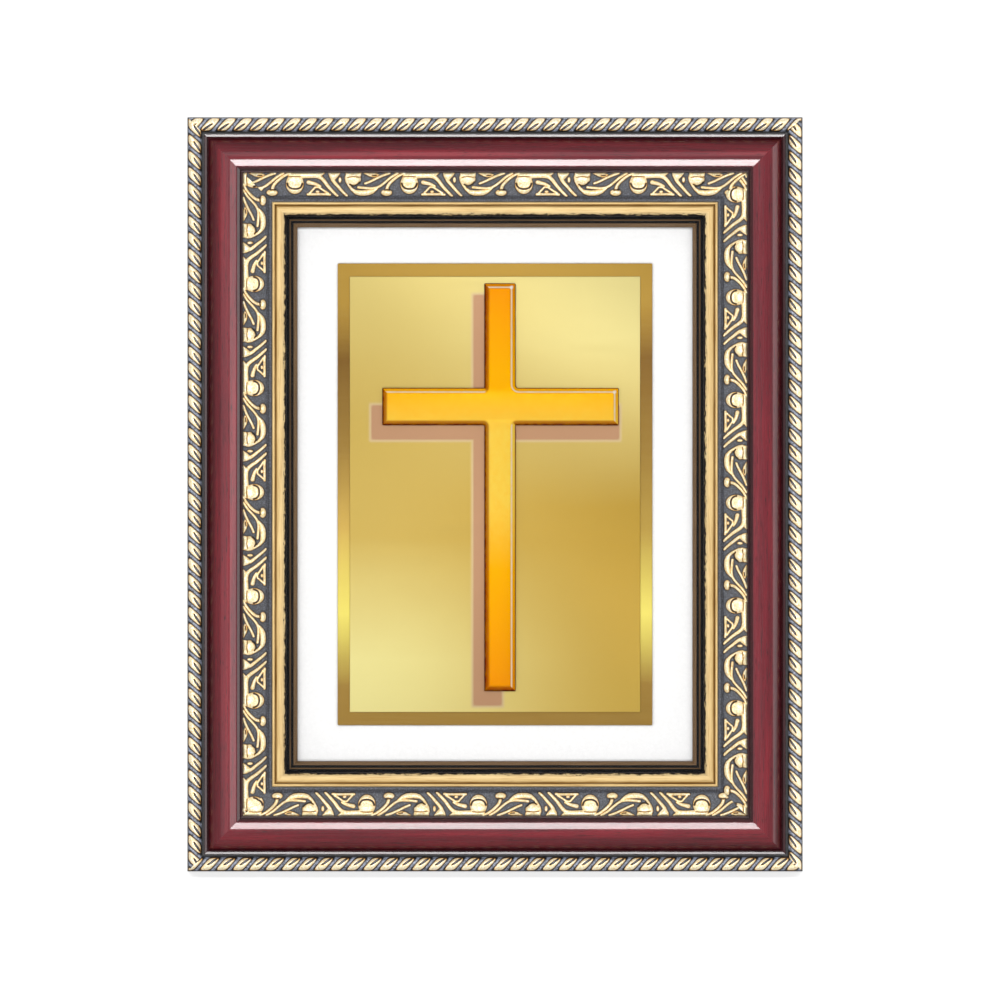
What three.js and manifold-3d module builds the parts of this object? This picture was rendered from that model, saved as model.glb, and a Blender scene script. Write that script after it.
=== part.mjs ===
// A gold-plated cross picture in a mahogany and gilt frame, with an easel back.
// Millimetres, +Z up. The frame is drawn upright with its rear plane at y = 0 and its front
// towards -Y. As one group it then leans back, until it stands on its lower rear edge and on the
// foot of its strut. A depth d is measured from the rear plane towards the front, so y = -d, and
// a width w is measured from the frame's outer edge inwards.
import * as THREE from 'three';
import { mergeVertices } from 'three/addons/utils/BufferGeometryUtils.js';
import Module from 'manifold-3d';

const wasm = await Module();
wasm.setup();

// ---- Driving dimensions ----
const FRAME_WIDTH = 175;
const FRAME_HEIGHT = 214.5;
const LEAN = THREE.MathUtils.degToRad(13); // the frame's tilt back from plumb
const SPLAY = THREE.MathUtils.degToRad(12); // the strut's tilt from plumb, the other way
const GAP = 0.3; // left between pieces that bear on each other
const MITRE_GAP = 0.15; // taken off each mitred end

// Moulding section
const EDGE_DEPTH = 12; // outer wall, and the ledge that the rope bead lies on
const BEAD_WIDTH = 4.3; // rope bead
const QUIRK = { w: 4.9, radius: 0.4, depth: 13.9 }; // fine bead where the coloured ovolo starts
const CREST = { w: 12.6, end: 13.8, depth: 19.3, round: 1.2, fall: 17.4 }; // highest line, nearly flat
const SCROLL_W = 15.9; // outer edge of the ornament band
const SCROLL_DEPTH = 15.2; // depth of its seat there
const SIGHT_W = 24.1; // outer edge of the gilt sight edge
const SIGHT_DEPTH = 13.1;
const LIP_W = 28.2; // sight size of the frame
const LIP_BACK = 10.7; // underside of the lip, which the glass bears on
const REBATE_W = 24.3;

// Contents of the rebate, from the glass back to the board
const GLASS_DEPTH = [8.9, 10.4];
const FILLET_DEPTH = [4.6, 8.6];
const FILLET_W = 31.3; // inner edge of the painted fillet
const CARD_DEPTH = [2.8, 4.3];
const BOARD_DEPTH = [0, 2.5];

// Plate and cross
const PLATE = { width: 89.6, height: 131.5, depth: [4.6, 5.3] };
const PANEL = { width: 82.7, height: 124, depth: [5.6, 5.9] };
const CROSS = {
  left: -32.1, right: 35.2, bottom: 51.2, top: 167.3, // bottom and top from the frame's foot
  uprightX: 1.4, uprightWidth: 8.9, armZ: 132.2, armHeight: 10.6,
  depth: [6.2, 7.8], bevel: 0.7,
};

// Easel strut and its hinge
const HINGE_Z = 146; // hinge axis above the frame's foot
const KNUCKLE = 1.8;
const PIN = 0.7;
const LEAF = { width: 20, length: 14, thickness: 0.7 };
const KNUCKLE_WIDTH = 7; // the strut leaf's knuckle, between the board leaf's two
const PIN_END = 0.6; // how far the pin stands out of each end of the hinge
const STRUT = { top: 24, foot: 46, thickness: 2.5, lap: 2.4, corner: 3 };
const HEEL = { height: 4.6, up: 1.6 }; // the strut leaf's stop, and its middle above the knuckle

// Turn buttons and hanging loop
const BUTTON = { long: 12.5, root: 4, tip: 2.6, thickness: 1, inset: 19, spread: 62 };
const SCREW = { head: 2.6, rise: 1.5, shank: 1.1, length: 9 };
const RECESS = { length: 2.9, width: 0.6, depth: 0.8 }; // the crossed slots in a screw's head
const STRAP = { width: 7, length: 6.5, thickness: 0.7, knuckle: 1.8, below: 7 };
const STRAP_NAIL = { head: 1.6, rise: 0.6, shank: 0.7, up: 2.3 }; // up from the strap's end
const LOOP = { width: 14, height: 14, wire: 0.9, corner: 3 };
const RIVET = { head: 1.9, rise: 0.8, shank: 0.9, tail: 1.4, sunk: 0.4 };
const NAIL = { w: 12, leg: 5, thickness: 0.6, back: 0.2, depth: 8 };

// ---- Finishes ----
const finish = (color, roughness, metalness = 0) => ({ color, roughness, metalness });
const MAHOGANY = finish(0x7a2530, 0.25);
const GILT = finish(0xe6c078, 0.3, 0.9);
const GOLD = finish(0xf5b428, 0.25, 1);
const PALE_GOLD = finish(0xdcc878, 0.35, 1);
const EBONISED = finish(0x1c1a1a, 0.35);
const CARD = finish(0xfafaf8, 0.9);
const GLASS = finish(0xf4f8f8, 0.05);
const BLACK_PAPER = finish(0x191919, 0.95);
const BRASS = finish(0xc09a4a, 0.35, 1);
const STEEL = finish(0xb4b6ba, 0.35, 1);

const root = new THREE.Group();
const frame = new THREE.Group(); // leans back
frame.rotation.x = -LEAN;
root.add(frame);

function add(name, geometry, look, parent = frame) {
  const mesh = new THREE.Mesh(geometry, new THREE.MeshStandardMaterial(look));
  mesh.name = name;
  parent.add(mesh);
  return mesh;
}

// ---- Joining and cutting ----
function toSolid(geometry) {
  const plain = geometry.clone();
  plain.deleteAttribute('normal');
  plain.deleteAttribute('uv');
  const merged = mergeVertices(plain, 1e-4);
  return new wasm.Manifold(new wasm.Mesh({
    numProp: 3,
    vertProperties: new Float32Array(merged.attributes.position.array),
    triVerts: new Uint32Array(merged.index.array),
}));
}

function toGeometry(solid) {
  const mesh = solid.getMesh();
  const geometry = new THREE.BufferGeometry();
  geometry.setAttribute('position', new THREE.BufferAttribute(mesh.vertProperties, 3));
  geometry.setIndex(new THREE.BufferAttribute(mesh.triVerts, 1));
  return geometry;
}

function cut(geometry, ...tools) {
  return toGeometry(tools.reduce((body, tool) => body.subtract(toSolid(tool)), toSolid(geometry)));
}

// ---- Shapes that repeat ----
const ROUND = 16; // sides of a turned shape

// A slab with its outline in the frame's plane, between two depths.
function slab(shape, [back, front], bevel = 0) {
  const geometry = new THREE.ExtrudeGeometry(shape, {
    depth: front - back - 2 * bevel, bevelEnabled: bevel > 0, bevelSize: bevel, bevelOffset: -bevel,
    bevelThickness: bevel, bevelSegments: 2, curveSegments: 8,
  });
  geometry.rotateX(Math.PI / 2);
  return geometry.translate(0, -back - bevel, 0);
}

// A rectangle about the frame's centre.
function rectangle(width, height) {
  const x = width / 2;
  const z = height / 2;
  return new THREE.Shape([[-x, -z], [x, -z], [x, z], [-x, z]].map(
    ([px, pz]) => new THREE.Vector2(px, pz + FRAME_HEIGHT / 2)));
}

// A round bar along Y, between two depths.
function dowel(radius, [back, front], x, z) {
  const geometry = new THREE.CylinderGeometry(radius, radius, front - back, ROUND);
  return geometry.translate(x, -(back + front) / 2, z);
}

// A section drawn in (y, z) and run along X, centred.
function alongX(shape, width) {
  const geometry = new THREE.ExtrudeGeometry(shape, {
    depth: width, bevelEnabled: false, curveSegments: ROUND,
  });
  geometry.translate(0, 0, -width / 2);
  return geometry.applyMatrix4(new THREE.Matrix4().makeBasis(
    new THREE.Vector3(0, 1, 0), new THREE.Vector3(0, 0, 1), new THREE.Vector3(1, 0, 0)));
}

// A rolled leaf: a knuckle round the axis at 0, 0 and a plate that leaves it upwards on the
// side towards the frame's front.
function rolledLeaf(knuckle, hole, thickness, length) {
  const inner = thickness - knuckle;
  const shape = new THREE.Shape();
  shape.moveTo(-knuckle, length);
  shape.lineTo(-knuckle, 0);
  shape.absarc(0, 0, knuckle, Math.PI, 2 * Math.PI + Math.acos(inner / knuckle));
  shape.lineTo(inner, length);
  shape.closePath();
  shape.holes.push(new THREE.Path().absarc(0, 0, hole, 0, 2 * Math.PI, true));
  return shape;
}

// Turned shapes stand along Y with their head at the back. Points run from the head to the tip.
function turned(points, x, z) {
  const profile = points.map(([r, y]) => new THREE.Vector2(r, y)).reverse();
  return new THREE.LatheGeometry(profile, ROUND).translate(x, 0, z);
}

// Four slips of one section, mitred into a rectangle and running the same way round.
const SIDES = [
  ['bottom', FRAME_WIDTH, FRAME_HEIGHT, 0],
  ['right', FRAME_HEIGHT, FRAME_WIDTH, -Math.PI / 2],
  ['top', FRAME_WIDTH, FRAME_HEIGHT, Math.PI],
  ['left', FRAME_HEIGHT, FRAME_WIDTH, Math.PI / 2],
];

function mitred(section, [, along, across, turn]) {
  const geometry = new THREE.ExtrudeGeometry(section, { depth: 1, bevelEnabled: false, curveSegments: 10 });
  const position = geometry.attributes.position;
  for (let i = 0; i < position.count; i++) {
    const w = position.getX(i);
    const end = 2 * position.getZ(i) - 1;
    const half = along / 2 - w - MITRE_GAP;
    position.setXYZ(i, end * half, -position.getY(i), w - across / 2);
  }
  return geometry.rotateY(turn).translate(0, 0, FRAME_HEIGHT / 2);
}

const section = (points) => new THREE.Shape(points.map(([w, d]) => new THREE.Vector2(w, d)));

// ---- Moulding ----
// Seat of the ornament band, which slopes down towards the picture.
const seat = (w) => SCROLL_DEPTH + (SIGHT_DEPTH - SCROLL_DEPTH) * (w - SCROLL_W) / (SIGHT_W - SCROLL_W);

function railSection() {
  const shape = new THREE.Shape();
  const { w, radius, depth } = QUIRK;
  const foot = w + 2 * radius + 0.2; // where the ovolo starts
  shape.moveTo(0, 0);
  shape.lineTo(0, EDGE_DEPTH);
  shape.lineTo(w, EDGE_DEPTH);
  shape.lineTo(w, depth);
  shape.absarc(w + radius, depth, radius, Math.PI, 0, true);
  shape.lineTo(foot, depth - 0.2);
  shape.bezierCurveTo(foot + 0.5, depth + 2.6, CREST.w - 3.6, CREST.depth - 0.3, CREST.w, CREST.depth);
  shape.lineTo(CREST.end, CREST.depth);
  shape.absarc(CREST.end, CREST.depth - CREST.round, CREST.round, Math.PI / 2, 0, true);
  shape.lineTo(CREST.end + CREST.round, CREST.fall);
  shape.lineTo(SCROLL_W - 0.1, CREST.fall - 0.2);
  shape.lineTo(SCROLL_W, SCROLL_DEPTH);
  shape.lineTo(SIGHT_W, SIGHT_DEPTH);
  shape.lineTo(SIGHT_W, SIGHT_DEPTH - 0.8);
  shape.lineTo(LIP_W, LIP_BACK + 0.9);
  shape.lineTo(LIP_W, LIP_BACK);
  shape.lineTo(REBATE_W, LIP_BACK);
  shape.lineTo(REBATE_W, 0);
  return shape;
}

function ropeSection() {
  const low = EDGE_DEPTH + GAP;
  const shape = new THREE.Shape();
  shape.moveTo(0.1, low);
  shape.lineTo(0.1, low + 1.2);
  shape.absarc(BEAD_WIDTH / 2, low + 1.2, BEAD_WIDTH / 2 - 0.1, Math.PI, 0, true);
  shape.lineTo(BEAD_WIDTH - 0.1, low);
  return shape;
}

function scrollSection() {
  const outer = SCROLL_W + GAP;
  const inner = SIGHT_W - GAP;
  const ground = 0.8;
  const relief = 1.1;
  return section([
    [outer, seat(outer) + GAP], [outer, seat(outer) + GAP + ground + relief],
    [inner - 1.6, seat(inner - 1.6) + GAP + ground + relief],
    [inner - 1.2, seat(inner - 1.2) + GAP + ground],
    [inner, seat(inner) + 2 * GAP], [inner, seat(inner) + GAP]]);
}

// The gilt sight edge has a bead along its outer side and falls towards the picture.
function sightSection() {
  const fall = (SIGHT_DEPTH - 0.8 - LIP_BACK - 0.9) / (LIP_W - SIGHT_W);
  const low = (w) => SIGHT_DEPTH - 0.8 + GAP - fall * (w - SIGHT_W);
  return section([
    [SIGHT_W, low(SIGHT_W)], [SIGHT_W, low(SIGHT_W) + 1.7], [SIGHT_W + 0.4, low(SIGHT_W) + 2],
    [SIGHT_W + 0.9, low(SIGHT_W) + 1.7], [SIGHT_W + 1.3, low(SIGHT_W) + 1],
    [LIP_W - 0.5, low(LIP_W) + 1.1], [LIP_W, low(LIP_W) + 0.6], [LIP_W, low(LIP_W)]]);
}

// The painted fillet steps down from under the glass towards the picture.
function filletSection() {
  const [back, front] = FILLET_DEPTH;
  return section([
    [REBATE_W + GAP, back], [REBATE_W + GAP, front], [LIP_W + 0.8, front], [LIP_W + 1, front - 0.7],
    [LIP_W + 1.6, front - 0.8], [FILLET_W, back + 1.2], [FILLET_W, back]]);
}

// Corner nails lie across each mitre from the back, one leg in each rail.
const CORNERS = [['bottom_left', 1, 1], ['bottom_right', -1, 1], ['top_left', 1, -1], ['top_right', -1, -1]];

function cornerNail([, sx, sz], slack = 0) {
  const t = NAIL.thickness + slack;
  const leg = NAIL.leg + slack;
  const points = [[-slack, -slack], [leg, -slack], [leg, t], [t, t], [t, leg], [-slack, leg]];
  const x0 = -sx * (FRAME_WIDTH / 2 - NAIL.w);
  const z0 = sz > 0 ? NAIL.w : FRAME_HEIGHT - NAIL.w;
  const shape = new THREE.Shape(points.map(([x, z]) => new THREE.Vector2(x0 + sx * x, z0 + sz * z)));
  return slab(shape, [slack ? -1 : NAIL.back, NAIL.depth + slack]);
}

// ---- Screws, and where they go ----
function panHead(x, z, h) { // h is how far the head's underside is behind the rear plane
  const { head, rise, shank, length } = SCREW;
  const screw = turned([
    [0, h + rise], [head * 0.5, h + rise * 0.93], [head * 0.85, h + rise * 0.67],
    [head, h + rise / 3], [head, h],
    [shank, h], [shank, h + 1 - length], [0, h - length]], x, z);
  const slots = [[RECESS.length, RECESS.width], [RECESS.width, RECESS.length]].map(
    ([a, b]) => new THREE.BoxGeometry(a, 2 * RECESS.depth, b).translate(x, h + rise, z));
  return cut(screw, ...slots);
}

const BUTTONS = [
  ['upper_left', -1, 1], ['upper_right', 1, 1], ['lower_left', -1, -1], ['lower_right', 1, -1],
].map(([name, sx, sz]) => ({
  name, x: sx * (FRAME_WIDTH / 2 - BUTTON.inset), z: FRAME_HEIGHT / 2 + sz * BUTTON.spread,
}));
const LOOP_Z = FRAME_HEIGHT - STRAP.below;
const strapNail = { x: 0, z: LOOP_Z - STRAP.length + STRAP_NAIL.up };

const screwHole = ({ x, z }) => dowel(SCREW.shank + GAP, [-1, SCREW.length + 0.5], x, z);

for (const side of SIDES) {
  const corners = CORNERS.filter(([corner]) => corner.includes(side[0]));
  const cuts = corners.map((corner) => cornerNail(corner, GAP));
  cuts.push(...BUTTONS.filter(({ name }) => name.endsWith(side[0])).map(screwHole));
  if (side[0] === 'top') cuts.push(screwHole(strapNail));
  add(`rail_${side[0]}`, cut(mitred(railSection(), side), ...cuts), MAHOGANY);
  add(`rope_bead_${side[0]}`, mitred(ropeSection(), side), GILT);
  add(`scroll_strip_${side[0]}`, mitred(scrollSection(), side), GILT);
  add(`sight_edge_${side[0]}`, mitred(sightSection(), side), GILT);
  add(`fillet_${side[0]}`, mitred(filletSection(), side), EBONISED);
}
for (const corner of CORNERS) add(`corner_nail_${corner[0]}`, cornerNail(corner), STEEL);

// ---- Glass, card, plate and cross ----
const insideWidth = FRAME_WIDTH - 2 * (REBATE_W + GAP);
const insideHeight = FRAME_HEIGHT - 2 * (REBATE_W + GAP);
add('glazing_pane', slab(rectangle(insideWidth, insideHeight), GLASS_DEPTH), GLASS);
add('mount_card', slab(rectangle(insideWidth, insideHeight), CARD_DEPTH), CARD);
add('backing_plate', slab(rectangle(PLATE.width, PLATE.height), PLATE.depth), BRASS);
add('foil_panel', slab(rectangle(PANEL.width, PANEL.height), PANEL.depth), PALE_GOLD);

function crossOutline() {
  const { left, right, bottom, top, uprightX, uprightWidth, armZ, armHeight } = CROSS;
  const [x0, x1] = [uprightX - uprightWidth / 2, uprightX + uprightWidth / 2];
  const [z0, z1] = [armZ - armHeight / 2, armZ + armHeight / 2];
  return section([
    [x0, bottom], [x1, bottom], [x1, z0], [right, z0], [right, z1], [x1, z1],
    [x1, top], [x0, top], [x0, z1], [left, z1], [left, z0], [x0, z0]]);
}
add('cross', slab(crossOutline(), CROSS.depth, CROSS.bevel), GOLD);

// ---- Back board and turn buttons ----
const KNUCKLE_Y = GAP + KNUCKLE;
const RIVETS = [['left', -6], ['right', 6]];
const RIVET_UP = 9; // above the axis on the board leaf, as far below it on the strut leaf

// A rivet has its head behind a leaf, and its tail sunk in the front of the wood it holds.
function rivet(x, z, leafBack, woodFront) {
  const { head, rise, shank, tail, sunk } = RIVET;
  const h = leafBack + GAP;
  const t = woodFront + 0.1;
  return turned([
    [0, h + rise], [head * 0.6, h + rise * 0.8], [head, h + rise / 4], [head, h], [shank, h],
    [shank, t + sunk], [tail, t + sunk], [tail, t], [0, t]], x, z);
}

function rivetHoles(z, woodFront) {
  const { shank, tail, sunk } = RIVET;
  return RIVETS.flatMap(([, x]) => [
    dowel(shank + 0.2, [-9, 9], x, z),
    dowel(tail + 0.25, [-woodFront - sunk - 0.4, -woodFront + 1], x, z)]);
}

const board = slab(rectangle(insideWidth, insideHeight), BOARD_DEPTH);
add('back_board', cut(board, ...rivetHoles(HINGE_Z + RIVET_UP, -BOARD_DEPTH[1])), BLACK_PAPER);

function buttonOutline() {
  const slope = Math.asin((BUTTON.root - BUTTON.tip) / BUTTON.long);
  const shape = new THREE.Shape();
  shape.absarc(0, 0, BUTTON.root, Math.PI / 2 - slope, 1.5 * Math.PI + slope);
  shape.absarc(BUTTON.long, 0, BUTTON.tip, slope - Math.PI / 2, Math.PI / 2 - slope);
  shape.holes.push(new THREE.Path().absarc(0, 0, SCREW.shank + GAP, 0, 2 * Math.PI, true));
  return shape;
}

for (const { name, x, z } of BUTTONS) {
  const plate = slab(buttonOutline(), [-GAP - BUTTON.thickness, -GAP]);
  if (x > 0) plate.rotateY(Math.PI); // the tip points inwards, over the board
  add(`turn_button_${name}`, plate.translate(x, 0, z), BRASS);
  add(`button_screw_${name}`, panHead(x, z, 2 * GAP + BUTTON.thickness), STEEL);
}

// ---- Hinge and strut ----
// Both leaves start whole. The board leaf then loses the middle of its knuckle and the strut
// leaf, the same leaf turned end for end, loses both ends.
const block = (width, x) => new THREE.BoxGeometry(width, 3 * KNUCKLE, 2 * KNUCKLE + 1).translate(x, 0, 0);
const wholeLeaf = () => alongX(rolledLeaf(KNUCKLE, PIN + 0.2, LEAF.thickness, LEAF.length), LEAF.width);
const leafHoles = (z) => RIVETS.map(([, x]) => dowel(RIVET.shank + 0.2, [-3, 3], x, z));
const onHinge = (geometry) => geometry.translate(0, KNUCKLE_Y, HINGE_Z);

const boardLeaf = cut(wholeLeaf(), block(KNUCKLE_WIDTH + 2 * GAP, 0), ...leafHoles(RIVET_UP));
add('hinge_leaf_board', onHinge(boardLeaf), BRASS);
const pin = new THREE.CylinderGeometry(PIN, PIN, LEAF.width + 2 * PIN_END, ROUND).rotateZ(Math.PI / 2);
add('hinge_pin', onHinge(pin), STEEL);

const swing = new THREE.Group(); // turns about the hinge axis
swing.position.set(0, KNUCKLE_Y, HINGE_Z);
swing.rotation.x = LEAN + SPLAY;
frame.add(swing);

// The strut leaf's heel comes to the board leaf when the strut is open, and stops it.
const heel = new THREE.BoxGeometry(KNUCKLE_WIDTH, LEAF.thickness, HEEL.height)
  .translate(0, LEAF.thickness * 1.5 + GAP - KNUCKLE, KNUCKLE + HEEL.up).rotateX(-LEAN - SPLAY);
const endBlocks = [-1, 1].map((s) => block(LEAF.width, s * (KNUCKLE_WIDTH + LEAF.width) / 2));
const strutLeaf = toGeometry(toSolid(wholeLeaf().rotateX(Math.PI)).add(toSolid(heel)));
add('hinge_leaf_strut', cut(strutLeaf, ...endBlocks, ...leafHoles(-RIVET_UP)), BRASS, swing);

// The strut tapers upwards, and its foot is cut level with the table.
const strutRear = KNUCKLE - LEAF.thickness - GAP;
const strutFront = strutRear - STRUT.thickness;
const axisHeight = HINGE_Z * Math.cos(LEAN) - KNUCKLE_Y * Math.sin(LEAN);
const footAt = (y) => -(axisHeight + y * Math.sin(SPLAY)) / Math.cos(SPLAY);

function strutBlank() {
  const { top, foot, lap, corner } = STRUT;
  const shape = new THREE.Shape();
  shape.moveTo(-foot / 2, footAt(0));
  shape.lineTo(foot / 2, footAt(0));
  shape.lineTo(top / 2, -lap - corner);
  shape.absarc(top / 2 - corner, -lap - corner, corner, 0, Math.PI / 2);
  shape.absarc(corner - top / 2, -lap - corner, corner, Math.PI / 2, Math.PI);
  const geometry = slab(shape, [-strutRear, -strutFront]);
  const position = geometry.attributes.position;
  for (let i = 0; i < position.count; i++) {
    if (position.getZ(i) < footAt(0) / 2) position.setZ(i, footAt(position.getY(i)));
  }
  return geometry;
}
add('strut', cut(strutBlank(), ...rivetHoles(-RIVET_UP, strutFront)), BLACK_PAPER, swing);

for (const [side, x] of RIVETS) {
  add(`board_rivet_${side}`, rivet(x, HINGE_Z + RIVET_UP, GAP + LEAF.thickness, -BOARD_DEPTH[1]), BRASS);
  add(`strut_rivet_${side}`, rivet(x, -RIVET_UP, KNUCKLE, strutFront), BRASS, swing);
}

// ---- Hanging loop ----
const eye = rolledLeaf(STRAP.knuckle, LOOP.wire + 0.25, STRAP.thickness, STRAP.length);
const strap = alongX(eye, STRAP.width).rotateY(Math.PI).translate(0, GAP + STRAP.knuckle, LOOP_Z);
add('loop_strap', cut(strap, screwHole(strapNail)), BRASS);

function nailProfile() {
  const { head, rise, shank } = STRAP_NAIL;
  const h = 2 * GAP + STRAP.thickness;
  return [[0, h + rise], [head * 0.56, h + rise * 0.83], [head, h + rise * 0.17], [head, h], [shank, h],
    [shank, 1 - SCREW.length], [0, -SCREW.length]];
}
add('strap_nail', turned(nailProfile(), strapNail.x, strapNail.z), BRASS);

// Wire bent round a closed outline in (x, z).
function wireLoop(outline, radius, sides = 10) {
  const count = outline.length;
  const vertices = outline.flatMap((point, i) => {
    const along = outline[(i + 1) % count].clone().sub(outline[(i + count - 1) % count]).normalize();
    return Array.from({ length: sides }, (_, k) => {
      const turn = 2 * Math.PI * k / sides;
      const out = radius * Math.cos(turn);
      return [point.x + along.y * out, radius * Math.sin(turn), point.y - along.x * out];
    }).flat();
  });
  const faces = [];
  for (let i = 0; i < count; i++) {
    for (let k = 0; k < sides; k++) {
      const [a, b] = [i * sides + k, i * sides + (k + 1) % sides];
      const [c, d] = [((i + 1) % count) * sides + k, ((i + 1) % count) * sides + (k + 1) % sides];
      faces.push(a, b, d, a, d, c);
    }
  }
  const geometry = new THREE.BufferGeometry();
  geometry.setAttribute('position', new THREE.Float32BufferAttribute(vertices, 3));
  geometry.setIndex(faces);
  return geometry;
}

// Rounded rectangle that hangs from its top bar, listed once round.
function loopOutline() {
  const { width, height, corner } = LOOP;
  const [x, low] = [width / 2 - corner, corner - height];
  return [[x, -corner, 0], [-x, -corner, 1], [-x, low, 2], [x, low, 3]].flatMap(([cx, cz, quarter]) =>
    Array.from({ length: 6 }, (_, k) => {
      const turn = (quarter + k / 5) * Math.PI / 2;
      return new THREE.Vector2(cx + corner * Math.cos(turn), cz + corner * Math.sin(turn));
    }));
}

const hang = new THREE.Group(); // the loop hangs plumb while the frame leans
hang.position.set(0, GAP + STRAP.knuckle, LOOP_Z);
hang.rotation.x = LEAN;
frame.add(hang);
add('hanging_loop', wireLoop(loopOutline(), LOOP.wire), BRASS, hang);

// ---- Origin at the middle of the footprint ----
const box = new THREE.Box3().setFromObject(root, true);
frame.position.set(-(box.min.x + box.max.x) / 2, -(box.min.y + box.max.y) / 2, -box.min.z);

export default root;
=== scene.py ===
"""Looks for the framed gold cross.

Pieces are drawn in millimetres in the upright frame that the model was designed in: x to the right,
z up from the frame's foot, and a depth d from the frame's rear plane towards its front. A width w
is measured from the frame's outer edge inwards, and a runs along a rail from its middle,
counter-clockwise as seen from the front. UPRIGHT leans all of it back to where the model stands.
"""
import math

import bmesh
import bpy
import numpy as np
from mathutils import Matrix, Vector

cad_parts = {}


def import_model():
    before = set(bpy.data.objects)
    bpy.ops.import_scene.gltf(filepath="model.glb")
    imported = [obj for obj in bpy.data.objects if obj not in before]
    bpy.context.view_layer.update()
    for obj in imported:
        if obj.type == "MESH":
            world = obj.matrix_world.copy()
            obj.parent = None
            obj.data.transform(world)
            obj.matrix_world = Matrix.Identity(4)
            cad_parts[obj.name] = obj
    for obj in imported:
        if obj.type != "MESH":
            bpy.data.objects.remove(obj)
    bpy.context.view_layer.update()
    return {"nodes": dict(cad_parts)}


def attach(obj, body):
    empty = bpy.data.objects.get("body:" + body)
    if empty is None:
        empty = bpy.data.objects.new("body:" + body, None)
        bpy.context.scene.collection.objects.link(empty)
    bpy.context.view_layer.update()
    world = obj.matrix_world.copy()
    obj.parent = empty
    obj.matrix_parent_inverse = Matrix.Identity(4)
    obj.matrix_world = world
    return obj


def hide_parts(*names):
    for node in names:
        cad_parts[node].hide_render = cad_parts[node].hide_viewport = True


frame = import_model()
nodes = frame["nodes"]

MM = 0.001
WIDTH, HEIGHT = 175, 214.5
LEAN = math.radians(13)
FOOT_Y = min(nodes["rail_bottom"].data.vertices, key=lambda v: v.co.z).co.y
UPRIGHT = Matrix.Translation((0, FOOT_Y, 0)) @ Matrix.Rotation(-LEAN, 4, "X")
TO_UPRIGHT = UPRIGHT.inverted()
FRONT = -15  # y near the frame's front, which lamps and camera aim at
CENTRE = UPRIGHT @ Vector((0, FRONT * MM, HEIGHT / 2 * MM))
MITRE_GAP = 0.004

# Moulding
EDGE_DEPTH = 12
ROPE = {"w": 2.2, "radius": 1.95, "pitch": 4.63, "slant": 0.85}
QUIRK_W, QUIRK_END, QUIRK_DEPTH = 4.9, 5.7, 14.2
CREST_W, CREST_END, CREST_DEPTH, CREST_FALL = 12.2, 13.95, 19.3, 17.4
FACET = math.tan(math.radians(6))  # how the moulding's narrow flats tilt outwards
SCROLL_W, SCROLL_DEPTH = 15.9, 15.2
SIGHT_W, SIGHT_DEPTH = 24.1, 13.1
LIP_W, LIP_BACK = 28.2, 10.7
REBATE_W = 24.3
FILLET_BACK, FILLET_FRONT, FILLET_W = 4.6, 8.6, 31.3

# Plate, panel and cross
PLATE_W, PLATE_H, PLATE_DEPTH = 89.6, 131.5, (4.3, 5.3)
PANEL_W, PANEL_H, PANEL_DEPTH = 82.7, 124, (5.3, 5.9)
CROSS_DEPTH = (5.9, 7.8)
CROSS_X = (-32.1, -3.05, 5.85, 35.2)  # left tip, the upright's two sides, right tip
CROSS_Z = (51.2, 126.9, 137.5, 167.3)  # foot, the arm's two sides, top
SHADOW_SHIFT = (-3.5, -4.5)
GLINT_INSET = 1.1  # of the two bright corners, from the cross's outline
NAIL_SHIFT = 0.25  # brings a corner nail's end out of the wood's back


# ---- Materials ----
def rgb(red, green, blue):
    """A colour given as it shows on a screen, from 0 to 255."""
    linear = [((c / 255 + 0.055) / 1.055) ** 2.4 if c > 10 else c / 3295 for c in (red, green, blue)]
    return (*linear, 1)


WHITE, BLACK = rgb(255, 255, 255), rgb(0, 0, 0)


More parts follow.
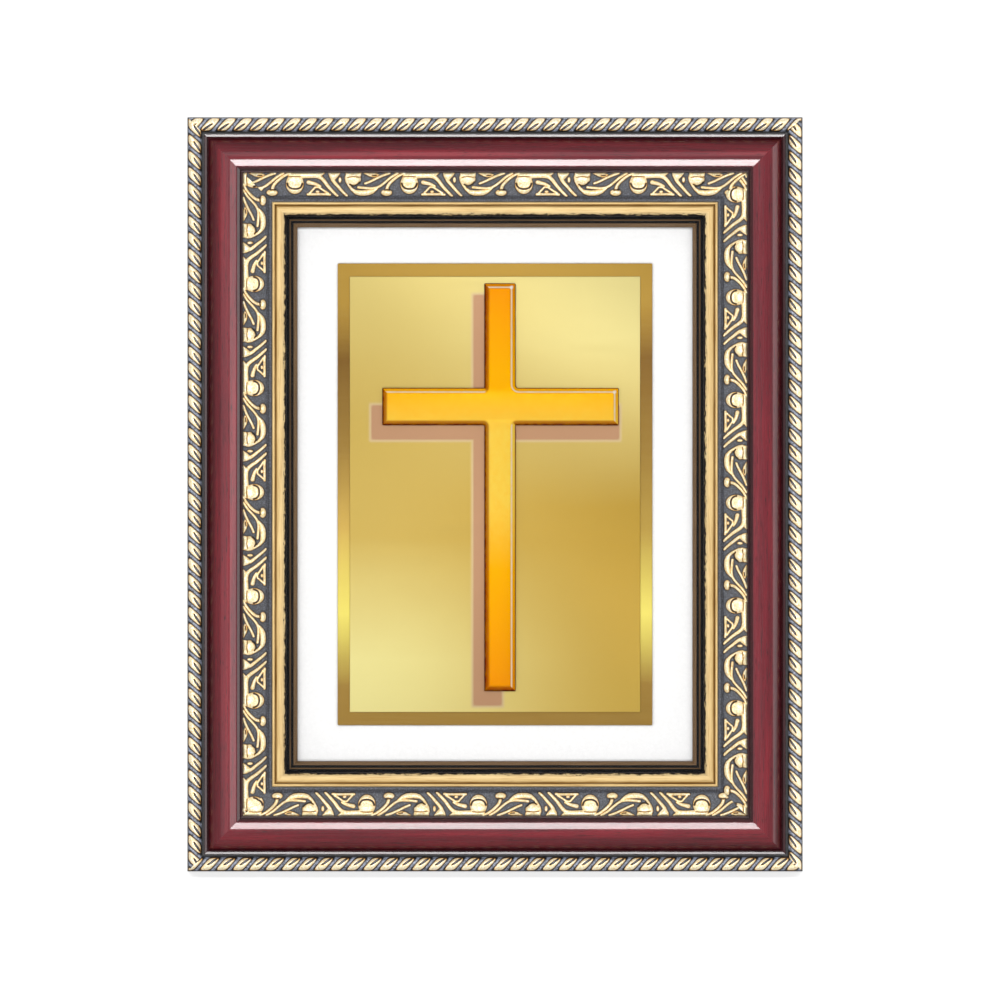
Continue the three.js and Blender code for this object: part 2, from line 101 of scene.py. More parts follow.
class Look:
    """A material under construction, with short ways to add nodes."""

    def __init__(self, name, **inputs):
        self.material = bpy.data.materials.new(name)
        self.material.use_nodes = True
        self.tree = self.material.node_tree
        self.shader = self.tree.nodes["Principled BSDF"]
        for key, value in inputs.items():
            self.put(self.shader.inputs[key.replace("_", " ")], value)

    def put(self, socket, value):
        if isinstance(value, bpy.types.NodeSocket):
            self.tree.links.new(value, socket)
        else:
            socket.default_value = value

    def add(self, kind, inputs, output=0, **settings):
        node = self.tree.nodes.new("ShaderNode" + kind)
        for key, value in settings.items():
            setattr(node, key, value)
        for key, value in inputs.items():
            self.put(node.inputs[key], value)
        return node.outputs[output]

    def attribute(self, name, output="Vector"):
        return self.add("Attribute", {}, output, attribute_name=name)

    def place(self, scale=(1, 1, 1)):
        """Points of the object, in millimetres in the upright frame, stretched by scale."""
        upright = self.add("Mapping", {
            "Vector": self.add("TexCoord", {}, "Object"), "Location": TO_UPRIGHT.translation / MM,
            "Rotation": TO_UPRIGHT.to_euler(), "Scale": [1 / MM] * 3})
        return upright if scale == (1, 1, 1) else self.add("Mapping", {"Vector": upright, "Scale": scale})

    def grain(self, scale=(1, 1, 1)):
        """Points of a rail as along, width and depth in millimetres, stretched by scale."""
        return self.add("Mapping", {"Vector": self.attribute("grain"), "Scale": scale})

    def part(self, vector, axis):
        return self.add("SeparateXYZ", {"Vector": vector}, "XYZ".index(axis))

    def noise(self, vector, scale, detail=3, roughness=0.55, distortion=0):
        return self.add("TexNoise", {"Vector": vector, "Scale": scale, "Detail": detail,
                                     "Roughness": roughness, "Distortion": distortion})

    def math(self, operation, *values):
        return self.add("Math", dict(enumerate(values)), operation=operation)

    def fade(self, value, low, high, to_low=0, to_high=1, kind="LINEAR"):
        return self.add("MapRange", {"Value": value, "From Min": low, "From Max": high, "To Min": to_low,
                                     "To Max": to_high}, interpolation_type=kind)

    def ramp(self, value, stops):
        """Colours at places along value."""
        low, high = stops[0][0], stops[-1][0]
        output = self.add("ValToRGB", {"Fac": self.fade(value, low, high)})
        elements = output.node.color_ramp.elements
        for i, (where, colour) in enumerate(stops):
            spot = (where - low) / (high - low)
            element = elements[i] if i < 2 else elements.new(spot)
            element.position, element.color = spot, colour
        return output

    def mix(self, amount, first, second, blend="MIX"):
        return self.add("Mix", {0: amount, 6: first, 7: second}, 2, data_type="RGBA", blend_type=blend)

    def metal_colour(self, tone, share):
        """Sheet metal also mirrors the lamps, so its own colour is taken down to a share of its tone."""
        self.put(self.shader.inputs["Base Color"], self.mix(1, tone, (share, share, share, 1), "MULTIPLY"))

    def bump(self, height, strength, distance):
        self.put(self.shader.inputs["Normal"],
                 self.add("Bump", {"Height": height, "Strength": strength, "Distance": distance * MM}))


def mahogany():
    """Lacquered wood, with painted shade at the ovolo's outer foot and inside the crest. It has less
    lacquer at that foot."""
    look = Look("mahogany_lacquer", Coat_Roughness=0.11, Coat_IOR=1.5, Specular_IOR_Level=0.15)
    tone = look.noise(look.grain((0.02, 0.5, 0.5)), 1, 4)
    streak = look.noise(look.grain((0.09, 1.9, 1.9)), 1, 4, 0.6)
    pores = look.noise(look.grain((0.3, 4.6, 4.6)), 1, 2, 0.5)
    wood = look.ramp(tone, [(0.3, rgb(92, 21, 32)), (0.5, rgb(108, 27, 38)), (0.7, rgb(132, 33, 44))])
    wood = look.mix(look.fade(streak, 0.56, 0.72), wood, rgb(70, 20, 28))
    wood = look.mix(look.fade(pores, 0.62, 0.7, 0, 0.8), wood, rgb(40, 14, 20))
    width = look.part(look.attribute("grain"), "Y")
    # Painted shade: darker at the ovolo's outer foot and inside the crest
    shade = look.ramp(width, [
        (5.6, rgb(120, 120, 128)), (8.5, rgb(220, 205, 210)), (10.5, WHITE), (13.9, WHITE),
        (14.3, rgb(150, 150, 160)), (15.1, rgb(110, 120, 130)), (16, rgb(110, 120, 130))])
    look.put(look.shader.inputs["Base Color"], look.mix(1, wood, shade, "MULTIPLY"))
    dull = look.math("MULTIPLY", look.fade(width, 5.7, 5.9), look.fade(width, 8.6, 6.8, 0, 0.85))
    look.put(look.shader.inputs["Coat Weight"], look.math("SUBTRACT", 1, dull))
    look.put(look.shader.inputs["Roughness"], look.fade(streak, 0.3, 0.7, 0.2, 0.34))
    look.bump(look.math("ADD", look.fade(pores, 0.6, 0.75, 0, -1), streak), 0.35, 0.05)
    return look.material


def ebony():
    """Black paint, a little dusty and rubbed."""
    look = Look("ebonised_wood")
    cloud = look.noise(look.grain((0.25, 1, 1)), 1.4, 4, 0.65)
    colour = look.ramp(cloud, [(0.3, rgb(22, 20, 21)), (0.55, rgb(46, 44, 46)), (0.75, rgb(92, 90, 94))])
    look.put(look.shader.inputs["Base Color"], colour)
    look.put(look.shader.inputs["Roughness"], look.fade(cloud, 0.3, 0.7, 0.3, 0.55))
    look.bump(look.noise(look.grain(), 5, 3), 0.25, 0.05)
    return look.material


def raw_wood():
    look = Look("raw_wood_back", Roughness=0.75)
    rings = look.noise(look.grain((0.03, 0.9, 0.9)), 1, 5, 0.6, 0.4)
    fibre = look.noise(look.grain((0.2, 6, 6)), 1, 3)
    colour = look.ramp(rings, [
        (0.3, rgb(168, 128, 84)), (0.5, rgb(196, 156, 108)), (0.7, rgb(214, 180, 134))])
    colour = look.mix(look.fade(fibre, 0.6, 0.75, 0, 0.6), colour, rgb(120, 84, 52))
    look.put(look.shader.inputs["Base Color"], colour)
    look.bump(fibre, 0.5, 0.1)
    return look.material


def worn_gilt(name, pale, sheen):
    """Gilding rubbed onto the high parts of a black relief. The attribute gilt is 0.5 at the edge of
    the gilding, and rises by 1 for each millimetre inside it. Painted shade darkens the gilding's rim
    and the ground just outside it. Away from it the ground has a painted silvery sheen."""
    look = Look(name)
    rub = look.noise(look.grain(), 2.2, 4, 0.6)
    fine = look.noise(look.grain(), 9, 3, 0.6)
    inside = look.math("ADD", look.attribute("gilt", "Fac"), look.fade(fine, 0.3, 0.7, -0.05, 0.05))
    ground = look.ramp(look.noise(look.grain(), 3.2, 4, 0.7),
                       [(0.35, rgb(20, 19, 22)), (0.52, rgb(40, 40, 44)), (0.66, rgb(96, 100, 112))])
    # Painted shade: a dark band on the ground just outside the gilding
    ground = look.mix(look.fade(inside, 0.1, 0.34, 0, 0.92), ground, rgb(10, 8, 8))
    # Painted sheen: a silvery reflection on the ground away from the gilding, scaled by sheen
    painted_sheen = look.math("MULTIPLY", look.fade(inside, 0.2, 0.05, 0, sheen), look.fade(rub, 0.35, 0.65))
    ground = look.mix(painted_sheen, ground, rgb(168, 176, 196))
    gold = look.ramp(rub, [(0.35, rgb(238, 206, 140)), (0.5, pale), (0.65, rgb(255, 252, 240))])
    # Painted shade: a dark brown rim at the gilding's edge
    leaf = look.ramp(inside, [(0.5, rgb(150, 106, 56)), (0.55, rgb(226, 186, 124)), (0.63, WHITE)])
    gilding = look.mix(1, gold, leaf, "MULTIPLY")
    cover = look.fade(inside, 0.46, 0.52)
    look.put(look.shader.inputs["Base Color"], look.mix(cover, ground, gilding))
    look.put(look.shader.inputs["Metallic"], look.fade(inside, 0.5, 0.7, 0, 0.3))
    look.put(look.shader.inputs["Roughness"], look.fade(fine, 0.3, 0.7, 0.24, 0.42))
    look.bump(look.math("ADD", fine, rub), 0.3, 0.04)
    return look.material


def sight_gilt():
    """Gold leaf along the sight edge, rubbed through to black at its inner line. Painted shade darkens
    its bead's outer foot and the groove beside the bead.
    """
    look = Look("sight_gilt", Metallic=0.3, Specular_IOR_Level=0.15)
    brushed = look.noise(look.grain((0.12, 5, 5)), 1, 4, 0.65)
    patches = look.noise(look.grain((0.05, 0.6, 0.6)), 1, 3)
    width = look.part(look.attribute("grain"), "Y")
    rubbed = look.noise(look.grain((0.5, 2, 2)), 1, 4, 0.7)
    worn = look.math("ADD", width, look.fade(rubbed, 0.3, 0.7, -0.45, 0.45))
    # Painted shade: dark stops at the bead's outer foot (24.0) and in the groove beside it (24.95 to 25.35)
    gold = look.ramp(width, [
        (24.0, rgb(96, 66, 30)), (24.2, rgb(206, 184, 138)), (24.75, rgb(198, 168, 112)),
        (24.95, rgb(124, 90, 42)), (25.35, rgb(150, 116, 60)), (25.6, rgb(198, 172, 120)),
        (27.5, rgb(200, 178, 134))])
    streaks = look.ramp(brushed, [(0.3, rgb(206, 186, 160)), (0.5, rgb(246, 240, 230)), (0.7, WHITE)])
    gold = look.mix(1, gold, streaks, "MULTIPLY")
    gold = look.mix(look.fade(patches, 0.45, 0.7, 0, 0.3), gold, rgb(232, 206, 150))
    gold = look.mix(look.fade(worn, 27.45, 27.75), gold, rgb(22, 16, 12))
    look.put(look.shader.inputs["Base Color"], gold)
    look.put(look.shader.inputs["Roughness"], look.fade(brushed, 0.3, 0.7, 0.3, 0.45))
    look.bump(brushed, 0.3, 0.04)
    return look.material


def fillet_paint():
    """Black with two lines of bronze along the fillet."""
    look = Look("fillet_paint", Specular_IOR_Level=0.08)
    width = look.part(look.attribute("grain"), "Y")
    brushed = look.noise(look.grain((0.1, 6, 6)), 1, 3)
    black, bronze = rgb(5, 5, 6), rgb(120, 94, 66)
    colour = look.ramp(width, [(28.2, black), (28.95, black), (29.1, bronze), (29.3, bronze), (29.5, black),
                               (30.1, black), (30.25, bronze), (31.2, bronze), (31.3, rgb(70, 50, 36))])
    colour = look.mix(look.fade(brushed, 0.35, 0.7, 0, 0.5), colour, black)
    look.put(look.shader.inputs["Base Color"], colour)
    look.put(look.shader.inputs["Roughness"], look.fade(brushed, 0.3, 0.7, 0.35, 0.5))
    look.bump(brushed, 0.2, 0.03)
    return look.material


def card():
    look = Look("mount_card", Roughness=0.9)
    fibre = look.noise(look.place(), 1.1, 5, 0.7)
    colour = look.ramp(fibre, [(0.3, rgb(224, 224, 224)), (0.7, rgb(230, 230, 230))])
    look.put(look.shader.inputs["Base Color"], colour)
    look.bump(fibre, 0.12, 0.05)
    return look.material


def painted_reflection_tones(look, left, right, edge, haze):
    """Bands of painted reflection: colours by height down a sheet's left and right sides, run into each
    other across it.
    """
    spot = look.place()
    cloud = look.noise(look.place((0.012, 0.012, 0.03)), 1, 3)
    level = look.math("ADD", look.part(spot, "Z"), look.fade(cloud, 0.3, 0.7, -2, 2))
    side = look.fade(look.part(spot, "X"), -edge, edge, kind="SMOOTHSTEP")
    tone = look.mix(side, look.ramp(level, left), look.ramp(level, right))
    brushed = look.noise(look.place((0.05, 1, 6)), 1, 3, 0.6)
    tone = look.mix(look.fade(brushed, 0.35, 0.7, 0, haze), tone, rgb(240, 216, 130))
    look.put(look.shader.inputs["Roughness"], look.fade(brushed, 0.3, 0.7, 0.32, 0.44))
    look.bump(brushed, 0.1, 0.02)
    return tone


def plate_gold():
    """Brushed gold plate, with painted reflections in bands of light and dark down it."""
    look = Look("plate_gold", Metallic=0.25, Specular_IOR_Level=0.1)
    bronze, dark, bright, warm = rgb(165, 128, 54), rgb(128, 88, 24), rgb(252, 236, 114), rgb(186, 146, 56)
    # Painted reflections: light and dark bands down the plate's left and right sides, by height
    left, right = ([(42, bronze), (53, bronze), (74, bright), (97, falling), (120, bronze), (145, dark),
                    (162, warm), (171, warm)] for falling in (rgb(220, 182, 88), rgb(196, 162, 72)))
    tone = painted_reflection_tones(look, left, right, PLATE_W / 2, 0.1)
    look.metal_colour(tone, 0.6)
    return look.material


def rectangle_distance(look, x, z, box):
    """How far a point is outside a rectangle, in millimetres, and less than 0 inside it."""
    (x0, x1), (z0, z1) = box
    from_middle = [look.math("ABSOLUTE", look.math("SUBTRACT", place, (low + high) / 2))
                   for place, low, high in ((x, x0, x1), (z, z0, z1))]
    beside = look.math("SUBTRACT", from_middle[0], (x1 - x0) / 2)
    above = look.math("SUBTRACT", from_middle[1], (z1 - z0) / 2)
    return look.math("SMOOTH_MAX", beside, above, 1.2)


def panel_gold():
    """Pale foil with painted reflections in bands down it, and the cross's drop shadow printed on it."""
    look = Look("panel_gold", Metallic=0.25, Specular_IOR_Level=0.1)
    spot = look.place()
    x, z = look.part(spot, "X"), look.part(spot, "Z")
    pale, middling, deep, low = rgb(250, 238, 158), rgb(228, 206, 124), rgb(212, 181, 90), rgb(196, 158, 58)
    lower, upper = rgb(216, 180, 80), rgb(237, 222, 147)
    # Painted reflections: light and dark bands down the panel's left and right sides, by height
    left = [(45, pale), (60, pale), (94, deep), (128, deep), (170, middling)]
    right = [(45, lower), (92, low), (104, low), (152, upper), (170, upper)]
    tone = painted_reflection_tones(look, left, right, PANEL_W / 2, 0.06)
    dx, dz = SHADOW_SHIFT
    upright = ((CROSS_X[1] + dx, CROSS_X[2] + dx), (CROSS_Z[0] + dz, CROSS_Z[3] + dz + 1.6))
    arm = ((CROSS_X[0] + dx, CROSS_X[3] + 0.6), (CROSS_Z[1] + dz, CROSS_Z[2] + dz))
    outside = look.math(
        "MINIMUM", rectangle_distance(look, x, z, upright), rectangle_distance(look, x, z, arm))
    halo = look.fade(outside, 0.75, -0.25, 0, 1, "SMOOTHSTEP")
    tone = look.mix(halo, tone, rgb(222, 196, 146))
    tone = look.mix(look.fade(outside, 0.05, -0.75, 0, 1, "SMOOTHSTEP"), tone, rgb(197, 151, 114))
    look.metal_colour(tone, 0.61)
    return look.material


def cross_gold():
    """Lacquered gold. Painted shade darkens the relief's sides that face down and left, and a painted
    highlight line and a painted glint at two corners lie on those that face up and right. The attribute
    edge holds how far a point is from the outline, and whether its side faces up and right (1) or down
    and left (-1)."""
    look = Look("cross_gold", Metallic=0.2, Specular_IOR_Level=0.0)
    height = look.part(look.place(), "Z")
    edge = look.attribute("edge")
    inset, facing = look.part(edge, "X"), look.part(edge, "Y")
    amber, gold, honey = rgb(232, 139, 6), rgb(254, 180, 2), rgb(254, 213, 80)
    face = look.ramp(height, [(51, amber), (86, gold), (106, honey), (125, honey), (137, gold), (142, gold),
                              (167, amber)])
    # Sides facing up and right keep only a thin dark outline; sides facing down and left get painted shade
    lights = look.ramp(inset, [(0.0, rgb(110, 40, 12)), (0.16, rgb(150, 76, 24)), (0.24, WHITE),
                               (1.7, WHITE)])
    darks = look.ramp(inset, [(0.0, rgb(84, 24, 12)), (0.34, rgb(104, 36, 14)), (0.5, rgb(176, 120, 60)),
                              (1.1, rgb(210, 176, 150)), (1.5, WHITE), (1.7, WHITE)])
    painted_light_and_shade = look.mix(look.fade(facing, -0.3, 0.3), darks, lights)
    colour = look.mix(1, face, painted_light_and_shade, "MULTIPLY")
    # Painted highlight: a pale line along the sides that face up and right
    band = look.ramp(inset, [(0, BLACK), (0.85, BLACK), (1.0, WHITE),
                             (1.25, WHITE), (1.45, BLACK)])
    line = look.math("MULTIPLY", band, look.fade(facing, 0.4, 0.75, 0, 0.85))
    colour = look.mix(line, colour, rgb(255, 240, 208))
    # Painted highlights: a glint near each of the two bright corners
    glints = [(CROSS_X[2], CROSS_Z[3]), (CROSS_X[3], CROSS_Z[2])]
    for x, z in glints:
        spot = (x - GLINT_INSET, -CROSS_DEPTH[1], z - GLINT_INSET)
        away = look.add("VectorMath", {0: look.place(), 1: spot}, 1, operation="DISTANCE")
        colour = look.mix(look.fade(away, 0.75, 0.4), colour, rgb(255, 255, 250))
    wear = look.noise(look.place(), 0.6, 4, 0.6)
    colour = look.mix(look.fade(wear, 0.4, 0.7, 0, 0.25), colour, rgb(250, 170, 4))
    look.metal_colour(colour, 0.64)
    look.put(look.shader.inputs["Roughness"], look.fade(wear, 0.3, 0.7, 0.28, 0.38))
    look.bump(wear, 0.05, 0.02)
    return look.material


def glass():
    """A clear pane: what is behind it, with the room's reflection on it."""
    look = Look("picture_glass")
    clear = look.add("BsdfTransparent", {"Color": (1, 1, 1, 1)})
    smear = look.fade(look.noise(look.place(), 0.05, 4), 0.3, 0.7, 0.0, 0.03)
    gloss = look.add("BsdfGlossy", {"Color": (1, 1, 1, 1), "Roughness": smear})
    strength = look.math("MULTIPLY", look.add("Fresnel", {"IOR": 1.45}), 0.15)
    both = look.add("MixShader", {0: strength, 1: clear, 2: gloss})
    output = look.tree.nodes["Material Output"]
    look.put(output.inputs["Surface"], both)
    look.tree.nodes.remove(look.shader)
    return look.material


def black_paper():
    look = Look("black_paper_board", Sheen_Weight=0.2, Sheen_Roughness=0.5)
    fleck = look.noise(look.place(), 2.4, 5, 0.75)
    cloud = look.noise(look.place(), 0.05, 3)
    colour = look.ramp(fleck, [(0.3, rgb(20, 20, 21)), (0.6, rgb(34, 34, 36)), (0.78, rgb(70, 70, 72))])
    colour = look.mix(look.fade(cloud, 0.4, 0.7, 0, 0.25), colour, rgb(54, 53, 54))
    look.put(look.shader.inputs["Base Color"], colour)
    look.put(look.shader.inputs["Roughness"], look.fade(fleck, 0.3, 0.7, 0.75, 0.95))
    look.bump(fleck, 0.6, 0.12)
    return look.material


def metal(name, dark, light, roughness):
    """Bare sheet or turned metal with faint scratches and tarnish."""
    look = Look(name, Metallic=1.0)
    tarnish = look.noise(look.place(), 0.35, 4, 0.65)
    scratch = look.noise(look.place((1, 1, 9)), 0.9, 3, 0.7)
    colour = look.ramp(tarnish, [(0.3, dark), (0.55, light), (0.75, light)])
    look.put(look.shader.inputs["Base Color"], colour)
    rough = look.fade(scratch, 0.3, 0.7, roughness - 0.08, roughness + 0.12)
    look.put(look.shader.inputs["Roughness"], rough)
    look.bump(scratch, 0.15, 0.02)
    return look.material


def seen_or_lit(tree, seen, lit):
    """A strength that is one number to the camera and another to everything that the stage lights."""
    path = tree.nodes.new("ShaderNodeLightPath")
    strength = tree.nodes.new("ShaderNodeMapRange")
    strength.inputs["To Min"].default_value, strength.inputs["To Max"].default_value = lit, seen
    tree.links.new(path.outputs["Is Camera Ray"], strength.inputs["Value"])
    return strength.outputs[0]


def floor_white():
    look = Look("floor_white", Roughness=0.9)
    soft = look.noise(look.place(), 0.002, 2)
    colour = look.ramp(soft, [(0.3, rgb(206, 206, 206)), (0.7, rgb(212, 212, 212))])
    look.put(look.shader.inputs["Base Color"], colour)
    look.put(look.shader.inputs["Emission Color"], (1, 1, 1, 1))
    look.put(look.shader.inputs["Emission Strength"], seen_or_lit(look.tree, 0.8, 0.0))
    return look.material


MAHOGANY, EBONY, RAW = mahogany(), ebony(), raw_wood()
ROPE_GILT = worn_gilt("rope_gilt", rgb(255, 242, 204), 0.95)
SCROLL_GILT = worn_gilt("scroll_gilt", rgb(255, 240, 192), 0.08)
SIGHT_GILT, FILLET_PAINT = sight_gilt(), fillet_paint()
BRASS = metal("brass_hardware", rgb(178, 138, 72), rgb(218, 180, 104), 0.3)
STEEL = metal("steel", rgb(120, 120, 124), rgb(190, 192, 196), 0.3)


# ---- Meshes ----
def piece(name, points, faces, looks, replaced, picks=None, body="frame", crease=35):
    """A mesh drawn in millimetres, which stands for some CAD nodes and rides on their body."""
    mesh = bpy.data.meshes.new(name)
    mesh.from_pydata((np.asarray(points).reshape(-1, 3) * MM).tolist(), [], faces)
    mesh.transform(UPRIGHT)
    for look in looks:
        mesh.materials.append(look)
    if picks is not None:
        mesh.polygons.foreach_set("material_index", picks)
    mesh.shade_smooth()
    mesh.set_sharp_from_angle(angle=math.radians(crease))
    mesh.validate()
    obj = bpy.data.objects.new(name, mesh)
    bpy.context.scene.collection.objects.link(obj)
    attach(obj, body)
    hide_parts(*replaced)
    return obj


def store(obj, name, values, kind="FLOAT"):
    attribute = obj.data.attributes.new(name, kind, "POINT")
    attribute.data.foreach_set("value" if kind == "FLOAT" else "vector", np.asarray(values, float).ravel())


RAILS = {"bottom": (WIDTH, HEIGHT, 0), "right": (HEIGHT, WIDTH, -1), "top": (WIDTH, HEIGHT, 2),
         "left": (HEIGHT, WIDTH, 1)}  # along, across, quarter turns
GRAIN_SHIFT = 500  # along the grain from one rail to the next, so that no two look alike


def on_rail(side, a, w, d):
    """Points of a rail in the upright frame."""
    _, across, quarter = RAILS[side]
    c, s = math.cos(quarter * math.pi / 2), math.sin(quarter * math.pi / 2)
    z = w - across / 2
    return np.stack([a * c + z * s, -d, z * c - a * s + HEIGHT / 2], -1)


def run(name, side, section, looks, replaced, steps=1, relief=None, crease=35):
    """A closed section of (w, d, look) points run between a rail's two mitres. relief gives depths to
    add, and the gilt attribute, from along and width, for the points whose look is 0."""
    w, d, pick = (np.array(column, float) for column in zip(*section))
    half = RAILS[side][0] / 2 - MITRE_GAP - w
    a = np.linspace(-1, 1, steps + 1)[:, None] * half
    w, d = w + 0 * a, d + 0 * a
    gilt = np.zeros_like(a)
    if relief:
        lift, gilt = relief(side, a, w)
        d = d + np.where(pick == 0, lift, 0)
    n = len(section)
    rows, columns = np.meshgrid(np.arange(steps), np.arange(n), indexing="ij")
    here, beside = rows * n + columns, rows * n + (columns + 1) % n
    faces = np.stack([here, here + n, beside + n, beside], -1).reshape(-1, 4).tolist()
    faces += [list(range(n)), list(range(steps * n, steps * n + n))[::-1]]
    picks = np.tile(pick, steps).astype(int).tolist() + [int(pick[-1])] * 2
    obj = piece(name, on_rail(side, a, w, d), faces, looks, replaced, picks, crease=crease)
    offset = GRAIN_SHIFT * list(RAILS).index(side)
    store(obj, "grain", np.stack([a + offset, w, d], -1), "FLOAT_VECTOR")
    if relief:
        store(obj, "gilt", gilt)


def arc(w, d, radius, start, end, steps=8):
    """Points (w, d) along an arc, from start to end in degrees."""
    turns = np.radians(np.linspace(start, end, steps + 1))
    return [(w + radius * math.cos(t), d + radius * math.sin(t)) for t in turns]


def bezier(p0, p1, p2, p3, steps=24):
    a, b, c, d = (np.array(p, float) for p in (p0, p1, p2, p3))
    return [tuple(a * (1 - t) ** 3 + b * 3 * t * (1 - t) ** 2 + c * 3 * t * t * (1 - t) + d * t ** 3)
            for t in np.linspace(0, 1, steps + 1)]


def looked(look, points):
    return [(w, d, look) for w, d in points]


def seat(w):
    """Depth of the sloping seat under the scroll band."""
    return SCROLL_DEPTH + (SIGHT_DEPTH - SCROLL_DEPTH) * (w - SCROLL_W) / (SIGHT_W - SCROLL_W)


def flat(start, end, depth, slope=FACET):
    """A narrow flat, tilted outwards, that ends at depth. Points near its ends keep its shading even."""
    return [(w, depth - (end - w) * slope) for w in (start, start + 0.06, end - 0.06, end)]


def rail_section():
    """The narrow flats at the quirk and the crest tilt outwards alike. The one at the crest's foot
    tilts more."""
    ledge = [(0, 0), (0, EDGE_DEPTH - 0.4)] + arc(0.4, EDGE_DEPTH - 0.4, 0.4, 150, 90, 3)
    ledge += [(QUIRK_W, EDGE_DEPTH)]
    crest = CREST_DEPTH - (CREST_END - CREST_W) * FACET
    ovolo = [(QUIRK_W, QUIRK_DEPTH - 0.2)] + flat(QUIRK_W + 0.08, QUIRK_END - 0.12, QUIRK_DEPTH)
    ovolo += [(QUIRK_END - 0.04, QUIRK_DEPTH - 0.15), (QUIRK_END + 0.1, QUIRK_DEPTH - 0.5)]
    ovolo += bezier((QUIRK_END + 0.25, QUIRK_DEPTH - 0.5), (QUIRK_END + 0.75, QUIRK_DEPTH + 2.3),
                    (CREST_W - 2.6, crest - 2.6 * FACET * 1.35), (CREST_W - 0.1, crest - 0.1 * FACET))
    ovolo += flat(CREST_W, CREST_END, CREST_DEPTH)
    chamfer = CREST_END + 0.25
    ovolo += [(chamfer + w, CREST_DEPTH - fall) for w, fall in
              ((-0.12, 0.03), (0, 0.12), (0.07, 0.18), (0.75, 0.8), (0.82, 0.88))]
    ovolo += [(chamfer + 0.85, CREST_FALL), (chamfer + 0.9, CREST_FALL - 0.15)]
    ovolo += flat(chamfer + 0.94, SCROLL_W - 0.12, CREST_FALL - 0.1, FACET * 1.45)
    ovolo += [(SCROLL_W - 0.04, CREST_FALL - 0.4)]
    hidden = [(SCROLL_W, SCROLL_DEPTH), (SIGHT_W, SIGHT_DEPTH), (SIGHT_W, SIGHT_DEPTH - 0.8),
              (LIP_W, LIP_BACK + 0.9), (LIP_W, LIP_BACK), (REBATE_W, LIP_BACK)]
    return looked(1, ledge) + looked(0, ovolo) + looked(1, hidden) + looked(2, [(REBATE_W, 0)])


# Ornament of the scroll band, in millimetres: u along from the middle of a boss, v from the band's
# outer edge inwards. It repeats each UNIT.
UNIT = 31.7
BAND = 6.5
STROKES = [  # points, and widths at the two ends
    ([(1.4, 0.1), (2.8, 0.8), (4.2, 1.8), (5.4, 2.95), (6.0, 3.85), (6.2, 4.7)], 0.65, 0.9),  # tendril
    ([(3.2, 0.1), (5.1, 1.3), (6.8, 2.75), (8.2, 3.8), (9.6, 4.3), (11.4, 4.35), (14.1, 4.1)],
     0.65, 0.68),  # rib
    ([(5.5, 0.1), (7.4, 0.8), (9.1, 1.6), (10.8, 2.45), (12.2, 3.0)], 0.7, 0.63),  # inner leaf
    ([(17.3, 6.5), (18.5, 5.3), (19.6, 4.0), (20.6, 2.85), (21.2, 2.0)], 0.65, 1.0),  # long stem
    ([(19.9, 6.6), (21.2, 5.25), (22.5, 3.8), (23.6, 2.3), (24.7, 1.25), (26.4, 0.85), (30.1, 0.95)],
     0.7, 1.3),  # stem into the next boss
    ([(22.0, 6.2), (23.6, 6.05), (28.1, 6.1)], 0.68, 0.68),  # triangle
    ([(22.5, 5.75), (23.7, 5.0), (24.9, 4.2)], 0.57, 0.57),
    ([(27.6, 5.75), (26.6, 4.7), (26.0, 4.1), (24.9, 4.15)], 0.57, 0.5),
    ([(24.6, 3.8), (25.9, 3.2), (27.9, 2.7)], 0.57, 1.15),  # leaf under the triangle
]
OVALS = [  # middle, half sizes, and how far it bulges
    ((0, 3.1), (2.45, 2.85), 0.1), ((0, 2.45), (1.95, 1.3), 0.45), ((6.3, 5.6), (1.5, 0.9), 0.2),
    ((15.5, 1.8), (2.1, 1.7), 0.45), ((19.2, 2.0), (0.4, 0.8), 0), ((25.4, 5.35), (0.54, 0.34), 0),
]
CRESCENT = [
    (8.1, 3.75), (8.8, 4.7), (9.9, 5.75), (11.1, 6.3), (12.5, 6.45), (13.9, 6.4), (15.1, 6.0), (16.2, 4.95),
    (17.0, 3.75), (17.7, 2.45), (17.9, 1.3), (17.6, 0.4), (17.2, 0.1), (16.6, 0.3), (16.9, 1.6), (16.6, 3.0),
    (15.9, 4.15), (14.9, 4.85), (13.3, 5.0), (11.6, 4.9), (9.9, 4.7), (8.9, 4.2),
]
FOOTINGS = [  # bases along the band's edge
    [(19.0, 0), (22.4, 0), (22.2, 1.0), (21.5, 2.3), (20.6, 2.0), (19.7, 1.0)],  # of the long stem
    [(13.3, 0), (17.6, 0), (17.6, 1.0), (13.4, 1.0)],  # of the bulb
    [(23.3, 0), (31.8, 0), (31.8, 1.3), (28.4, 1.15), (24.4, 1.0)],  # of the next stem
    [(-1.5, 0), (1.3, 0), (1.8, 0.75), (2.0, 1.6), (-2.0, 1.6)],  # of the boss
    [(8.2, 0.5), (9.1, 1.1), (10.1, 1.25), (11.1, 1.0), (11.9, 0.55), (12.8, 0.1), (9.4, 0.1)],  # foot leaf
]
CREASES = [  # lines sunk into the gilding: points, width
    ([(-2.1, 3.05), (-1.8, 3.85), (-1.2, 4.4), (0, 4.6), (1.1, 4.4), (1.8, 3.8), (2.1, 3.0)],
     0.42),  # of the boss's hood
    ([(-1.7, 1.15), (0, 1.0), (1.7, 1.15)], 0.14), ([(13.8, 1.25), (15.6, 1.1), (17.2, 1.3)], 0.14),
    ([(5.4, 4.9), (6.1, 4.8), (6.8, 4.9)], 0.25), ([(9.1, 0.7), (10.2, 0.8)], 0.25),
    ([(13.7, 2.6), (14.5, 3.35), (15.6, 3.65), (16.5, 3.25)], 0.28),
]


